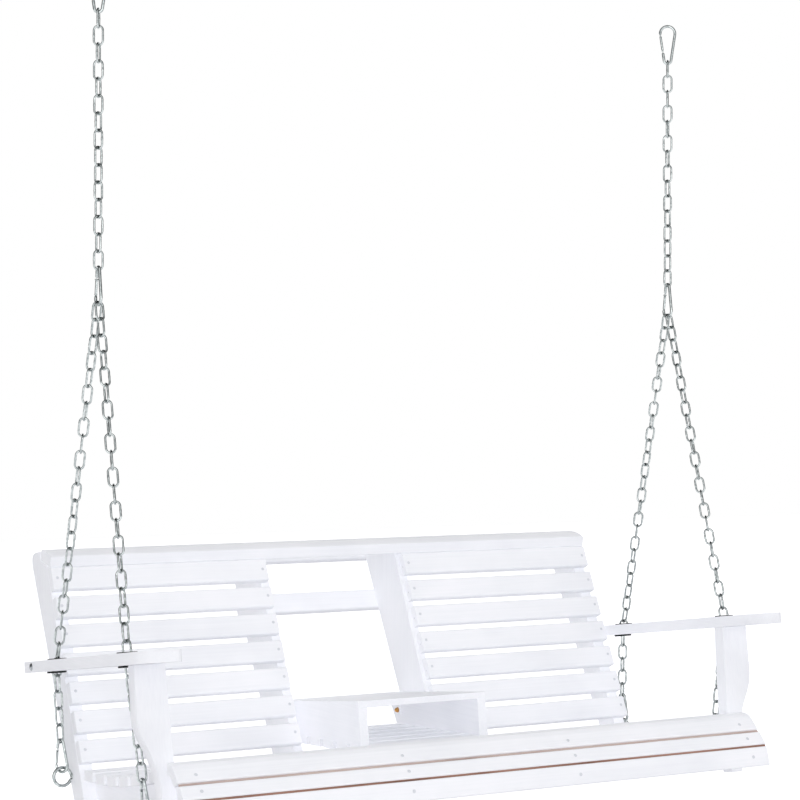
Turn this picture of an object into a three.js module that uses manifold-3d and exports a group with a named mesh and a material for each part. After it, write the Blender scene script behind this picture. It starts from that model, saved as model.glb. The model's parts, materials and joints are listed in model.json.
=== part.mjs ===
// A porch swing seat for three with a fold-down centre console, hung from two ceiling hooks on chains.
// Millimetres. +Z is up, +X is to the right seen from the front, and the seat faces -Y.
// The origin is midway between the two points where the ceiling hooks bear on the top carabiners.
import * as THREE from "three";
import { mergeVertices } from "three/addons/utils/BufferGeometryUtils.js";
import Module from "manifold-3d";

const wasm = await Module();
wasm.setup();

const DEG = Math.PI / 180;

// ---------- driving dimensions ----------

const FIT = 0.3; // clearance left between pieces that touch
const RUN = 0.7; // clearance where one piece turns or slides on another
const SWING_PLAY = 1.5; // the first link rolls in the top carabiner as the seat swings
const GLUED = 0.05; // how far glued pieces reach into each other

// The seat, drawn level in its own frame: y = 0, z = 0 is the lower front edge of the lowest back slat.
const HANG_PITCH = 7.9 * DEG; // how far the hung seat leans back
const SEAT_BEHIND_HOOKS = 128.3;
const SEAT_BELOW_HOOKS = 1507;

// Slats
const SLAT_THICKNESS = 20;
const SLAT_WIDTH = 45;
const SLAT_PITCH = 59.6;
const SLAT_EDGE = 2.5; // broken edge
const BACK_SLATS = 7;
const BACK_RECLINE = 18 * DEG;
const HALF_WIDTH = 640; // to the outer faces of the outer stiles
const OPENING_HALF = 156.6; // the opening in the back that the console folds into

// Framing
const FRAME_THICKNESS = 28;
const STILE_TOP = 421;
const STILE_TOP_RADIUS = 34;
const FRAME_BOTTOM = -140;
const OUTER_STILE_FOOT = 28.5; // y of the rear edge at the bottom
const OUTER_STILE_LEAN = 0.3862; // y per z of the rear edge
const INNER_STILE_FOOT = 75.3;
const INNER_STILE_LEAN = 0.3887;
const INNER_STILE_TOP = 412;
const INNER_STILE_RADIUS = 8;
const INNER_STILE_THICKNESS = 20;
const INNER_JOIST_X = OPENING_HALF + 26.2; // centre of each inner joist

// Cap rail: its front face leans with the back and its top is crowned.
const CAP_THICKNESS = 22.5;
const CAP_DEPTH = 57;
const CAP_FRONT = new THREE.Vector2(129.2, 384.9); // lower front edge
const CAP_TILT = 18.5 * DEG;
const CAP_CROWN = 3.5;

// Rails behind the opening
const RAIL_THICKNESS = 20;
const BRACE_RISE = 274; // z of the lower edge
const BRACE_WIDTH = 45;
const TOP_RAIL_RISE = 387;
const TOP_RAIL_WIDTH = 26;

// Seat
const DISH_RADIUS = 1350;
const DISH_Y = -165;
const DISH_Z = -24.6;
const SEAT_SLATS = 7;
const SEAT_PITCH = 59.7;
const SEAT_REAR = -5.5;
const SEAT_HALF = HALF_WIDTH - 2;
const SEAT_HALF_AT_CHAINS = HALF_WIDTH - 14; // the slat whose ends the front chains pass
const FRONT_HALF = HALF_WIDTH - 4;
const FRONT_BOARDS = [
  // the face of each board from its lower to its upper edge, from the bottom board to the nosing
  [[-495.3, -104.5], [-489.4, -65.4]],
  [[-487.1, -61.4], [-469.1, -36.1]],
  [[-465.5, -32.4], [-446, -8.5], [-438, -2], [-421.5, 3.5]],
].map((face) => face.map(([y, z]) => new THREE.Vector2(y, z)));
const FRONT_BEVEL = 6; // each front board is narrower at its back, so that the three close round the curve
const JOIST_FRONT_BOTTOM = -103;
const JOIST_REAR_BOTTOM = -125;
const JOIST_REAR = 70;

// Arm posts and armrests
const POST_FRONT = -398;
const POST_THICKNESS = 30;
const POST_INNER = HALF_WIDTH - FRAME_THICKNESS;
const POST_LEAN = 7.5; // how far the inner edge slants out on its way up
const POST_SWELL = 40; // how far the post grows past the outer stile's face
const POST_SHOULDER = 80; // where the swelling ends
const POST_BOTTOM = -118;
const ARM_TOP = 200;
const ARM_THICKNESS = 22;
const ARM_INNER = HALF_WIDTH - 20;
const ARM_WIDTH = 88;
const ARM_FRONT = -496;
const ARM_REAR = 120;
const ARM_NOTCH_FRONT = 25; // the notch that clears the back
const ARM_FRONT_RADIUS = 25;
const ARM_REAR_RADIUS = 8;

// Console, drawn folded down
const CONSOLE_HALF = 145.5;
const CONSOLE_SIDE = 19.5;
const CONSOLE_TOP_THICKNESS = 13.5;
const CONSOLE_FLOOR_THICKNESS = 16;
const CONSOLE_SLATS = 6;
const CONSOLE_FRONT = new THREE.Vector2(-219, -22.9); // lower front edge
const CONSOLE_SIDE_REAR = 130;
const CONSOLE_FLOOR_TILT = 4.5 * DEG;
const CONSOLE_TOP_TILT = 1.1 * DEG;
const CONSOLE_TOP = 80; // at the open end
const CONSOLE_REAR_LEAN = 26 * DEG;
const PIVOT = new THREE.Vector2(109, 48.5);
const PIVOT_BOLT_RADIUS = 5;
const PIVOT_HEAD_RADIUS = 8;
const PIVOT_HEAD = 6;
const PIVOT_SPACER_RADIUS = 9;

// Chain: oval links of round wire
const WIRE = 4.2;
const LINK_WIDTH = 21.6;
const LINK_PITCH = 32.3; // inner length of a link
const UPPER_LINKS = 15;
const CHAIN_HOOK_X = HALF_WIDTH + 14.7;
const CHAIN_ARM_X = HALF_WIDTH + 29;
const REAR_CHAIN_Y = 35.6; // where the rear chain passes the middle of the armrest
const FRONT_CHAIN_Y = -341.7;
const REAR_EYE = new THREE.Vector2(57, -27); // where the eye bolts are screwed in
const FRONT_EYE = new THREE.Vector2(-303, -98);

// Carabiners: pear shaped, from round bar
const CARABINER_BAR = 6;
const TOP_CARABINER = { length: 87, wide: 19, narrow: 10.5 };
const JUNCTION_CARABINER = { length: 78, wide: 17, narrow: 9.5 };
const EYE_CARABINER = { length: 69, wide: 15.5, narrow: 9 };
const CARABINER_HINGE = 0.36; // where the gate starts and ends along the straight side, from the narrow bow
const CARABINER_NOSE = 0.96;
const TOP_TURN = 151.2 * DEG; // the way the gate side of each carabiner faces, from +x
const JUNCTION_TURN = 90 * DEG;

// Eye bolts and the washers at the armrest holes
const EYE_WIRE = 6.5;
const EYE_PLAY = 2.2; // between the eye and the bow that pulls on it, which cross at a slant
const EYE_RADIUS = 17.6; // to the middle of the wire
const EYE_STANDOFF = 20; // from the wood to the middle of the eye
const EYE_SHANK = 34; // length in the wood
const EYE_COLLAR = 6.5;
const EYE_COLLAR_THICKNESS = 1.8;
const WASHER_RADIUS = 19;
const WASHER_HOLE = 13;
const UPPER_WASHER_THICKNESS = 2;
const LOWER_WASHER_THICKNESS = 3.6;
const ARM_HOLE = 15.5;

// ---------- finishes ----------

const paint = new THREE.MeshStandardMaterial({ color: 0xe9ebf2, roughness: 0.45 });
const zinc = new THREE.MeshStandardMaterial({ color: 0xb9bdc2, roughness: 0.25, metalness: 1 });
const blackSteel = new THREE.MeshStandardMaterial({ color: 0x17181a, roughness: 0.5, metalness: 0.6 });

// ---------- solids ----------

function solidOf(geometry) {
  const bare = geometry.clone();
  for (const name of Object.keys(bare.attributes)) if (name !== "position") bare.deleteAttribute(name);
  const merged = mergeVertices(bare, 1e-3);
  return new wasm.Manifold(
    new wasm.Mesh({
      numProp: 3,
      vertProperties: merged.attributes.position.array,
      triVerts: new Uint32Array(merged.index.array),
    }),
  );
}

function geometryOf(solid) {
  const mesh = solid.getMesh();
  const geometry = new THREE.BufferGeometry();
  geometry.setAttribute("position", new THREE.BufferAttribute(new Float32Array(mesh.vertProperties), 3));
  geometry.setIndex(new THREE.BufferAttribute(new Uint32Array(mesh.triVerts), 1));
  return geometry;
}

function join(geometries) {
  return geometryOf(geometries.map(solidOf).reduce((sum, next) => sum.add(next)));
}

function cut(geometry, tools) {
  return geometryOf(tools.map(solidOf).reduce((rest, tool) => rest.subtract(tool), solidOf(geometry)));
}

// A profile drawn in y and z, carried along x.
function alongX(points, from, to) {
  const shape = points instanceof THREE.Shape ? points : new THREE.Shape(points);
  const geometry = new THREE.ExtrudeGeometry(shape, { depth: to - from, bevelEnabled: false, curveSegments: 8 });
  const axes = new THREE.Matrix4().makeBasis(
    new THREE.Vector3(0, 1, 0),
    new THREE.Vector3(0, 0, 1),
    new THREE.Vector3(1, 0, 0),
  );
  return geometry.applyMatrix4(axes).translate(from, 0, 0);
}

// A profile drawn in x and z, carried along y.
function alongY(shape, from, to) {
  const geometry = new THREE.ExtrudeGeometry(shape, { depth: to - from, bevelEnabled: false, curveSegments: 8 });
  return geometry.rotateX(Math.PI / 2).translate(0, to, 0);
}

// A profile drawn in x and y, carried along z.
function alongZ(shape, from, to) {
  const geometry = new THREE.ExtrudeGeometry(shape, { depth: to - from, bevelEnabled: false, curveSegments: 5 });
  return geometry.translate(0, 0, from);
}

function rod(radius, sides, from, to) {
  const span = new THREE.Vector3().subVectors(to, from);
  const geometry = new THREE.CylinderGeometry(radius, radius, span.length(), sides);
  const turn = new THREE.Quaternion().setFromUnitVectors(new THREE.Vector3(0, 1, 0), span.clone().normalize());
  return geometry.applyQuaternion(turn).translate(...from.clone().add(to).multiplyScalar(0.5));
}

// Round bar bent along a flat path. The path lies in the plane of `across` and `along`; each of its
// points is given as (across, along), and the section has a flat on the inner side of the bend.
function bentBar(path, closed, radius, sides, origin, across, along) {
  const normal = new THREE.Vector3().crossVectors(across, along);
  const count = path.length;
  const step = (i, j) => path[(j + count) % count].clone().sub(path[(i + count) % count]).normalize();
  const flatTurn = sides % 2 ? 0 : 0.5;
  const positions = [];
  for (let i = 0; i < count; i++) {
    const into = closed || i > 0 ? step(i - 1, i) : step(i, i + 1);
    const out = closed || i < count - 1 ? step(i, i + 1) : into;
    const mean = into.clone().add(out).normalize();
    const outward = new THREE.Vector2(mean.y, -mean.x);
    const stretch = 1 / Math.max(0.5, mean.dot(into));
    for (let j = 0; j < sides; j++) {
      const angle = ((j + flatTurn) * 2 * Math.PI) / sides;
      const offset = outward.clone().multiplyScalar(Math.cos(angle) * radius * stretch).add(path[i]);
      positions.push(
        origin
          .clone()
          .addScaledVector(across, offset.x)
          .addScaledVector(along, offset.y)
          .addScaledVector(normal, Math.sin(angle) * radius),
      );
    }
  }
  const faces = [];
  for (let i = 0; i < (closed ? count : count - 1); i++) {
    for (let j = 0; j < sides; j++) {
      const a = i * sides + j;
      const b = i * sides + ((j + 1) % sides);
      const c = ((i + 1) % count) * sides + j;
      const d = ((i + 1) % count) * sides + ((j + 1) % sides);
      faces.push(a, c, b, b, c, d);
    }
  }
  if (!closed) {
    const last = (count - 1) * sides;
    for (let j = 1; j < sides - 1; j++) {
      faces.push(0, j, j + 1, last, last + j + 1, last + j);
    }
  }
  const geometry = new THREE.BufferGeometry().setFromPoints(positions);
  geometry.setIndex(faces);
  return geometry;
}

// Points of an arc about a centre, from one angle to another, both ends included.
function arc(x, y, radius, from, to, steps) {
  return Array.from({ length: steps + 1 }, (_, i) => {
    const angle = from + ((to - from) * i) / steps;
    return new THREE.Vector2(x + radius * Math.cos(angle), y + radius * Math.sin(angle));
  });
}

// A board's section: its face runs from start to end and its thickness lies to the right of that way.
function boardSection(start, end, thickness, edge, bevel = 0) {
  const way = end.clone().sub(start);
  const width = way.length();
  way.normalize();
  const inward = new THREE.Vector2(way.y, -way.x);
  const outline = [
    [edge, 0],
    [width - edge, 0],
    [width, edge],
    [width - bevel, thickness - edge],
    [width - bevel - edge, thickness],
    [bevel + edge, thickness],
    [bevel, thickness - edge],
    [0, edge],
  ];
  return outline.map(([a, b]) => start.clone().addScaledVector(way, a).addScaledVector(inward, b));
}

// Where two lines meet, each given by two points.
function meet([a, b], [c, d]) {
  const r = b.clone().sub(a);
  const s = d.clone().sub(c);
  const t = c.clone().sub(a).cross(s) / r.cross(s);
  return a.clone().addScaledVector(r, t);
}

function offsetLine([start, end], distance) {
  const way = end.clone().sub(start).normalize();
  const inward = new THREE.Vector2(way.y, -way.x);
  return [start.clone().addScaledVector(inward, distance), end.clone().addScaledVector(inward, distance)];
}

// A bent line moved to its right by a distance.
function offsetPath(path, distance) {
  const lines = path.slice(1).map((end, i) => offsetLine([path[i], end], distance));
  const corners = lines.slice(1).map((line, i) => meet(lines[i], line));
  return [lines[0][0], ...corners, lines[lines.length - 1][1]];
}

function named(name, geometry, material) {
  const mesh = new THREE.Mesh(geometry, material);
  mesh.name = name;
  return mesh;
}

const SIDES = [
  ["left", -1],
  ["right", 1],
];

// An x range on one side of the seat, in rising order.
const span = (side, inner, outer) => (side > 0 ? [inner, outer] : [-outer, -inner]);

// ---------- back ----------

const backWay = new THREE.Vector2(Math.sin(BACK_RECLINE), Math.cos(BACK_RECLINE));
const backNormal = new THREE.Vector2(Math.cos(BACK_RECLINE), -Math.sin(BACK_RECLINE));

function backSlat(index, side) {
  const start = backWay.clone().multiplyScalar(index * SLAT_PITCH);
  const end = start.clone().addScaledVector(backWay, SLAT_WIDTH);
  const section = boardSection(start, end, SLAT_THICKNESS, SLAT_EDGE);
  return alongX(section, ...span(side, OPENING_HALF, HALF_WIDTH));
}

// A point on the front edge of the stiles, just behind the slats, at a height.
function stileFront(z, clearance) {
  const foot = backNormal.clone().multiplyScalar(SLAT_THICKNESS + clearance);
  return new THREE.Vector2(foot.x + ((z - foot.y) * backWay.x) / backWay.y, z);
}

const outerStileRear = (z) => new THREE.Vector2(OUTER_STILE_FOOT + OUTER_STILE_LEAN * (z - FRAME_BOTTOM), z);
const innerStileRear = (z) => new THREE.Vector2(INNER_STILE_FOOT + INNER_STILE_LEAN * (z - FRAME_BOTTOM), z);

const capWay = new THREE.Vector2(Math.cos(CAP_TILT), Math.sin(CAP_TILT));
const capUp = new THREE.Vector2(-capWay.y, capWay.x);
const capLine = [CAP_FRONT, CAP_FRONT.clone().addScaledVector(capWay, CAP_DEPTH)];
const underCap = [
  capLine[0].clone().addScaledVector(capUp, -FIT),
  capLine[1].clone().addScaledVector(capUp, -FIT),
];

// A stile is a tapered board. Its front edge follows the slats, and the cap rail sits in a rebate at its top.
function stileOutline(rear, top, topRadius, clearance) {
  const front = [stileFront(FRAME_BOTTOM, clearance), stileFront(STILE_TOP, clearance)];
  const rearTop = rear(top);
  const behindCap = underCap[1].x + FIT;
  const shape = new THREE.Shape();
  shape.moveTo(...front[0]);
  shape.lineTo(...meet(front, underCap));
  shape.lineTo(behindCap, meet([new THREE.Vector2(behindCap, 0), new THREE.Vector2(behindCap, 1)], underCap).y);
  shape.lineTo(behindCap, top);
  shape.lineTo(rearTop.x - topRadius, top);
  const below = rear(top - topRadius);
  shape.quadraticCurveTo(rearTop.x, rearTop.y, below.x, below.y);
  shape.lineTo(...rear(FRAME_BOTTOM));
  return shape;
}

const outerStile = (side) =>
  alongX(
    stileOutline(outerStileRear, STILE_TOP, STILE_TOP_RADIUS, FIT),
    ...span(side, HALF_WIDTH - FRAME_THICKNESS, HALF_WIDTH),
  );

const INNER_STILE_OUTSIDE = OPENING_HALF + INNER_STILE_THICKNESS;

// The bolt that the console turns on: a spacer against the stile, the shank and a round head inside the console.
function pivotBolt(side) {
  const at = (x) => new THREE.Vector3(side * x, PIVOT.x, PIVOT.y);
  const sideInside = CONSOLE_HALF - CONSOLE_SIDE;
  return [
    rod(PIVOT_SPACER_RADIUS, 14, at(CONSOLE_HALF + FIT), at(OPENING_HALF + 1)),
    rod(PIVOT_BOLT_RADIUS, 12, at(sideInside - PIVOT_HEAD), at(OPENING_HALF + 1)),
    rod(PIVOT_HEAD_RADIUS, 14, at(sideInside - PIVOT_HEAD), at(sideInside - FIT)),
  ];
}

// One half of the back: seven slats on the inner stile, with the console's pivot bolt.
function backPanel(side) {
  const outline = stileOutline(innerStileRear, INNER_STILE_TOP, INNER_STILE_RADIUS, -GLUED);
  const stile = alongX(outline, ...span(side, OPENING_HALF, INNER_STILE_OUTSIDE));
  const slats = Array.from({ length: BACK_SLATS }, (_, i) => backSlat(i, side));
  return join([stile, ...slats, ...pivotBolt(side)]);
}

function capRail() {
  const [front, rear] = capLine;
  const top = [front, rear].map((p) => p.clone().addScaledVector(capUp, CAP_THICKNESS));
  const crown = top[0].clone().lerp(top[1], 0.5).addScaledVector(capUp, 2 * CAP_CROWN);
  const shape = new THREE.Shape();
  shape.moveTo(...front);
  shape.lineTo(...rear);
  shape.lineTo(...top[1]);
  shape.quadraticCurveTo(crown.x, crown.y, top[0].x, top[0].y);
  return alongX(shape, -HALF_WIDTH, HALF_WIDTH);
}

// A board across the rear edges of the two inner stiles. The folded console stops against it.
function rearBoard(rise, width) {
  const start = innerStileRear(rise);
  start.x += FIT;
  const way = new THREE.Vector2(INNER_STILE_LEAN, 1).normalize();
  const end = start.clone().addScaledVector(way, width);
  const section = boardSection(start, end, RAIL_THICKNESS, SLAT_EDGE);
  return alongX(section, -INNER_STILE_OUTSIDE, INNER_STILE_OUTSIDE);
}

// ---------- seat ----------

// A point on the dished seat at an arc length in front of its lowest line; depth is measured down into the wood.
function dish(arcLength, depth = 0) {
  const angle = arcLength / DISH_RADIUS;
  const radius = DISH_RADIUS + depth;
  return new THREE.Vector2(
    DISH_Y - radius * Math.sin(angle),
    DISH_Z + DISH_RADIUS - radius * Math.cos(angle),
  );
}

const seatStart = (index) => DISH_Y - SEAT_REAR + index * SEAT_PITCH;

// The two front slats are shorter: the front leg chains pass the ends of one, and the arm posts those of the other.
function seatHalf(index) {
  if (index === SEAT_SLATS - 1) return POST_INNER - FIT;
  return index === SEAT_SLATS - 2 ? SEAT_HALF_AT_CHAINS : SEAT_HALF;
}

function seatSlat(index) {
  const rear = seatStart(index);
  const section = boardSection(dish(rear + SLAT_WIDTH), dish(rear), SLAT_THICKNESS, SLAT_EDGE);
  return alongX(section, -seatHalf(index), seatHalf(index));
}

const frontBoard = (face) =>
  alongX(boardSection(...face, SLAT_THICKNESS, SLAT_EDGE, FRONT_BEVEL), -FRONT_HALF, FRONT_HALF);

// The top front board is moulded: its face rolls over to meet the seat.
function nosing(face) {
  const back = offsetPath(face, SLAT_THICKNESS);
  const low = back[0].clone().lerp(back[1], FRONT_BEVEL / back[0].distanceTo(back[1]));
  const top = face[face.length - 1];
  const crest = face[face.length - 2];
  const front = [
    face[0].clone().lerp(low, SLAT_EDGE / face[0].distanceTo(low)),
    face[0].clone().lerp(face[1], SLAT_EDGE / face[0].distanceTo(face[1])),
    ...face.slice(1, -1),
    top.clone().lerp(crest, SLAT_EDGE / top.distanceTo(crest)),
    top.clone().lerp(back[back.length - 1], SLAT_EDGE / SLAT_THICKNESS),
  ];
  return alongX([...front, ...back.slice(1).reverse(), low], -FRONT_HALF, FRONT_HALF);
}

// A joist is cut to the dish of the seat and to the roll of its front.
function joistOutline() {
  const depth = SLAT_THICKNESS + FIT;
  const [low, middle, high] = FRONT_BOARDS.map((face) => offsetPath(face, depth));
  const frontArc = seatStart(SEAT_SLATS - 1) + SLAT_WIDTH;
  const rearArc = DISH_Y - JOIST_REAR;
  const steps = 10;
  const top = Array.from({ length: steps + 1 }, (_, i) => dish(frontArc + ((rearArc - frontArc) * i) / steps, depth));
  const drop = new THREE.Vector2(low[0].x + (low[0].y - JOIST_FRONT_BOTTOM) * -0.15, JOIST_FRONT_BOTTOM);
  return [
    drop,
    meet(low, middle),
    meet(middle, high),
    ...high.slice(1),
    ...top,
    new THREE.Vector2(JOIST_REAR, JOIST_REAR_BOTTOM),
  ];
}

const outerJoist = (side) => {
  const outer = HALF_WIDTH - FRAME_THICKNESS - FIT;
  return alongX(joistOutline(), ...span(side, outer - FRAME_THICKNESS, outer));
};

// An inner joist is notched at its rear end, where it laps the outer side of the inner stile.
function innerJoist(side) {
  const half = FRAME_THICKNESS / 2;
  const joist = alongX(joistOutline(), ...span(side, INNER_JOIST_X - half, INNER_JOIST_X + half));
  const behind = 2 * JOIST_REAR;
  const notch = [
    stileFront(FRAME_BOTTOM - 1, -FIT),
    stileFront(0, -FIT),
    new THREE.Vector2(behind, 0),
    new THREE.Vector2(behind, FRAME_BOTTOM - 1),
  ];
  return cut(joist, [alongX(notch, ...span(side, OPENING_HALF, INNER_STILE_OUTSIDE + FIT))]);
}

// ---------- arms ----------

const ARM_BOTTOM = ARM_TOP - ARM_THICKNESS;
const ARM_MIDDLE = ARM_TOP - ARM_THICKNESS / 2;

// The post is narrow where it is bolted to the joist and swells to carry the armrest.
function armPost(side) {
  const foot = HALF_WIDTH;
  const outer = foot + POST_SWELL;
  const top = ARM_BOTTOM - FIT;
  const swell = new THREE.SplineCurve(
    [
      [1, 0],
      [0.85, 27],
      [0.4, 65],
      [0.1, 102],
      [0, 132],
    ].map(([part, drop]) => new THREE.Vector2(side * (foot + part * POST_SWELL), POST_SHOULDER - drop)),
  );
  const points = [
    new THREE.Vector2(side * (POST_INNER + POST_LEAN), top),
    new THREE.Vector2(side * outer, top),
    ...swell.getPoints(10),
    new THREE.Vector2(side * foot, POST_BOTTOM),
    new THREE.Vector2(side * POST_INNER, POST_BOTTOM),
    new THREE.Vector2(side * POST_INNER, 0),
  ];
  return alongY(new THREE.Shape(points), POST_FRONT, POST_FRONT + POST_THICKNESS);
}

// Where a leg chain crosses a level of the armrest, as x and y in the seat's own frame.
function chainCrossing(leg, z) {
  const [above, arm, below] = leg.crossings;
  const [from, to] = z >= arm.z ? [arm, above] : [arm, below];
  return from.clone().lerp(to, (z - from.z) / (to.z - from.z));
}

function armrest(side, legs) {
  const outer = ARM_INNER + ARM_WIDTH;
  const notch = HALF_WIDTH + FIT;
  const points = [
    new THREE.Vector2(ARM_INNER, ARM_NOTCH_FRONT),
    ...arc(ARM_INNER + ARM_FRONT_RADIUS, ARM_FRONT + ARM_FRONT_RADIUS, ARM_FRONT_RADIUS, Math.PI, 1.5 * Math.PI, 5),
    ...arc(outer - ARM_FRONT_RADIUS, ARM_FRONT + ARM_FRONT_RADIUS, ARM_FRONT_RADIUS, 1.5 * Math.PI, 2 * Math.PI, 5),
    ...arc(outer - ARM_REAR_RADIUS, ARM_REAR - ARM_REAR_RADIUS, ARM_REAR_RADIUS, 0, Math.PI / 2, 3),
    new THREE.Vector2(notch, ARM_REAR),
    new THREE.Vector2(notch, ARM_NOTCH_FRONT),
  ].map((p) => new THREE.Vector2(side * p.x, p.y));
  const shape = new THREE.Shape(points);
  for (const leg of legs) {
    const top = chainCrossing(leg, ARM_TOP);
    const bottom = chainCrossing(leg, ARM_BOTTOM);
    const hole = new THREE.Path(arc((top.x + bottom.x) / 2, (top.y + bottom.y) / 2, ARM_HOLE, 0, 2 * Math.PI, 14).slice(1));
    shape.holes.push(hole);
  }
  return alongZ(shape, ARM_BOTTOM, ARM_TOP);
}

function washer(leg, from, to) {
  const centre = chainCrossing(leg, (from + to) / 2);
  const shape = new THREE.Shape(arc(centre.x, centre.y, WASHER_RADIUS, 0, 2 * Math.PI, 14).slice(1));
  shape.holes.push(new THREE.Path(arc(centre.x, centre.y, WASHER_HOLE, 0, 2 * Math.PI, 12).slice(1)));
  return alongZ(shape, from, to);
}

// ---------- console ----------

// A box open at its front end, whose floor slats match the back when it is folded up.
function consoleParts() {
  const way = new THREE.Vector2(Math.cos(CONSOLE_FLOOR_TILT), Math.sin(CONSOLE_FLOOR_TILT));
  const up = new THREE.Vector2(-way.y, way.x);
  const at = (a, b) => CONSOLE_FRONT.clone().addScaledVector(way, a).addScaledVector(up, b);
  const slats = Array.from({ length: CONSOLE_SLATS }, (_, i) =>
    alongX(
      boardSection(
        at(i * SLAT_PITCH, CONSOLE_FLOOR_THICKNESS),
        at(i * SLAT_PITCH + SLAT_WIDTH, CONSOLE_FLOOR_THICKNESS),
        CONSOLE_FLOOR_THICKNESS,
        1,
      ),
      -CONSOLE_HALF,
      CONSOLE_HALF,
    ),
  );
  const lowRear = at((CONSOLE_SIDE_REAR - CONSOLE_FRONT.x) / way.x, CONSOLE_FLOOR_THICKNESS - GLUED);
  const face = [CONSOLE_FRONT, CONSOLE_FRONT.clone().add(new THREE.Vector2(0, 1))];
  const lowFront = meet([lowRear, lowRear.clone().add(way)], face);
  const topFront = new THREE.Vector2(CONSOLE_FRONT.x, CONSOLE_TOP - CONSOLE_TOP_THICKNESS);
  const topWay = new THREE.Vector2(Math.cos(CONSOLE_TOP_TILT), Math.sin(CONSOLE_TOP_TILT));
  const rearWay = new THREE.Vector2(Math.sin(CONSOLE_REAR_LEAN), Math.cos(CONSOLE_REAR_LEAN));
  const topLine = [topFront, topFront.clone().add(topWay)];
  const topRear = meet(topLine, [lowRear, lowRear.clone().add(rearWay)]);
  const board = [lowFront, lowRear, topRear, topFront];
  const sides = SIDES.map(([, side]) => alongX(board, ...span(side, CONSOLE_HALF - CONSOLE_SIDE, CONSOLE_HALF)));
  const boltHole = rod(
    PIVOT_BOLT_RADIUS + RUN,
    12,
    new THREE.Vector3(-CONSOLE_HALF - 1, PIVOT.x, PIVOT.y),
    new THREE.Vector3(CONSOLE_HALF + 1, PIVOT.x, PIVOT.y),
  );
  const topUp = new THREE.Vector2(-topWay.y, topWay.x);
  const lid = boardSection(
    topFront.clone().addScaledVector(topUp, CONSOLE_TOP_THICKNESS),
    topRear.clone().addScaledVector(topUp, CONSOLE_TOP_THICKNESS),
    CONSOLE_TOP_THICKNESS + GLUED,
    1,
  );
  return cut(join([...slats, ...sides, alongX(lid, -CONSOLE_HALF, CONSOLE_HALF)]), [boltHole]);
}

// ---------- hanging hardware ----------

const LINK_SIDES = 4;
const FACETED = 1.2; // a four-sided bar is drawn a little larger, so that its bulk matches the round one
const LINK_BAR = (WIRE / 2) * FACETED;
const LINK_FLAT = LINK_BAR * Math.cos(Math.PI / LINK_SIDES); // from the middle of the bar to its inner flat
const SINK = 0.12; // how far links of one chain press into each other where they bear

// One link between two bearing points. `turn` is the way its broad side faces, about the chain's own line.
function link(from, to, turn) {
  const along = new THREE.Vector3().subVectors(to, from);
  const pitch = along.length();
  along.normalize();
  const across = acrossAt(along, turn);
  const radius = (LINK_WIDTH - WIRE) / 2;
  const reach = pitch / 2 + LINK_FLAT - SINK - radius * Math.cos(Math.PI / 6);
  const path = [
    ...arc(0, reach, radius, 0, Math.PI, 3),
    ...arc(0, -reach, radius, Math.PI, 2 * Math.PI, 3),
  ];
  return bentBar(path, true, LINK_BAR, LINK_SIDES, from.clone().lerp(to, 0.5), across, along);
}

// The level direction at an angle from +x, squared to the chain's line.
function acrossAt(along, turn) {
  const level = new THREE.Vector3(Math.cos(turn), Math.sin(turn), 0);
  return level.addScaledVector(along, -level.dot(along)).normalize();
}

// A chain along a route of straight stretches. Links alternate by a quarter turn, and the chain twists
// evenly between the turns given at the corners of the route.
function chain(route, links, turns) {
  const lengths = route.slice(1).map((p, i) => p.distanceTo(route[i]));
  const total = lengths.reduce((a, b) => a + b);
  const place = (s) => {
    let i = 0;
    while (i < lengths.length - 1 && s > lengths[i]) s -= lengths[i++];
    const t = s / lengths[i];
    return { point: route[i].clone().lerp(route[i + 1], t), turn: turns[i] + (turns[i + 1] - turns[i]) * t };
  };
  const pieces = Array.from({ length: links }, (_, k) => {
    const a = place((total * k) / links);
    const b = place((total * (k + 1)) / links);
    return link(a.point, b.point, (a.turn + b.turn) / 2 + (k * Math.PI) / 2);
  });
  return join(pieces);
}

// A carabiner hangs from `narrowEnd`, the bearing point inside its small bow, and points along `along`
// to the bearing point inside its wide bow. The gate closes its +across side.
function carabiner(size, narrowEnd, along, turn) {
  const across = acrossAt(along, turn);
  const bar = CARABINER_BAR / 2;
  const wide = size.wide - bar;
  const narrow = size.narrow - bar;
  const wideCentre = size.length - size.wide - CARABINER_BAR;
  const narrowCentre = size.narrow - CARABINER_BAR;
  // the straight sides are tangents to both bows
  const lean = Math.asin((wide - narrow) / (wideCentre - narrowCentre));
  const sideTop = (x, y, r) => new THREE.Vector2(x + r * Math.cos(lean), y - r * Math.sin(lean));
  const gateFoot = sideTop(0, narrowCentre, narrow);
  const gateHead = sideTop(0, wideCentre, wide);
  const gateWay = gateHead.clone().sub(gateFoot).normalize();
  const sideLength = gateHead.distanceTo(gateFoot);
  const hinge = gateFoot.clone().addScaledVector(gateWay, CARABINER_HINGE * sideLength);
  const tip = gateFoot.clone().addScaledVector(gateWay, CARABINER_NOSE * sideLength);
  const gap = bar + 0.6;
  const path = [
    tip.clone().addScaledVector(gateWay, 0.6),
    ...arc(0, wideCentre, wide, -lean, Math.PI + lean, 6),
    ...arc(0, narrowCentre, narrow, Math.PI + lean, 2 * Math.PI - lean, 5),
    hinge.clone().addScaledVector(gateWay, -gap),
  ];
  const body = bentBar(path, false, bar, 6, narrowEnd, across, along);
  const gateBar = bar * 0.86;
  const gatePath = [
    hinge.clone().addScaledVector(gateWay, -gateBar * 0.8),
    tip,
  ];
  const gate = bentBar(gatePath, false, gateBar, 6, narrowEnd, across, along);
  return {
    body,
    gate,
    hinge: narrowEnd.clone().addScaledVector(across, hinge.x).addScaledVector(along, hinge.y),
    axis: new THREE.Vector3().crossVectors(across, along),
  };
}

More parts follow.
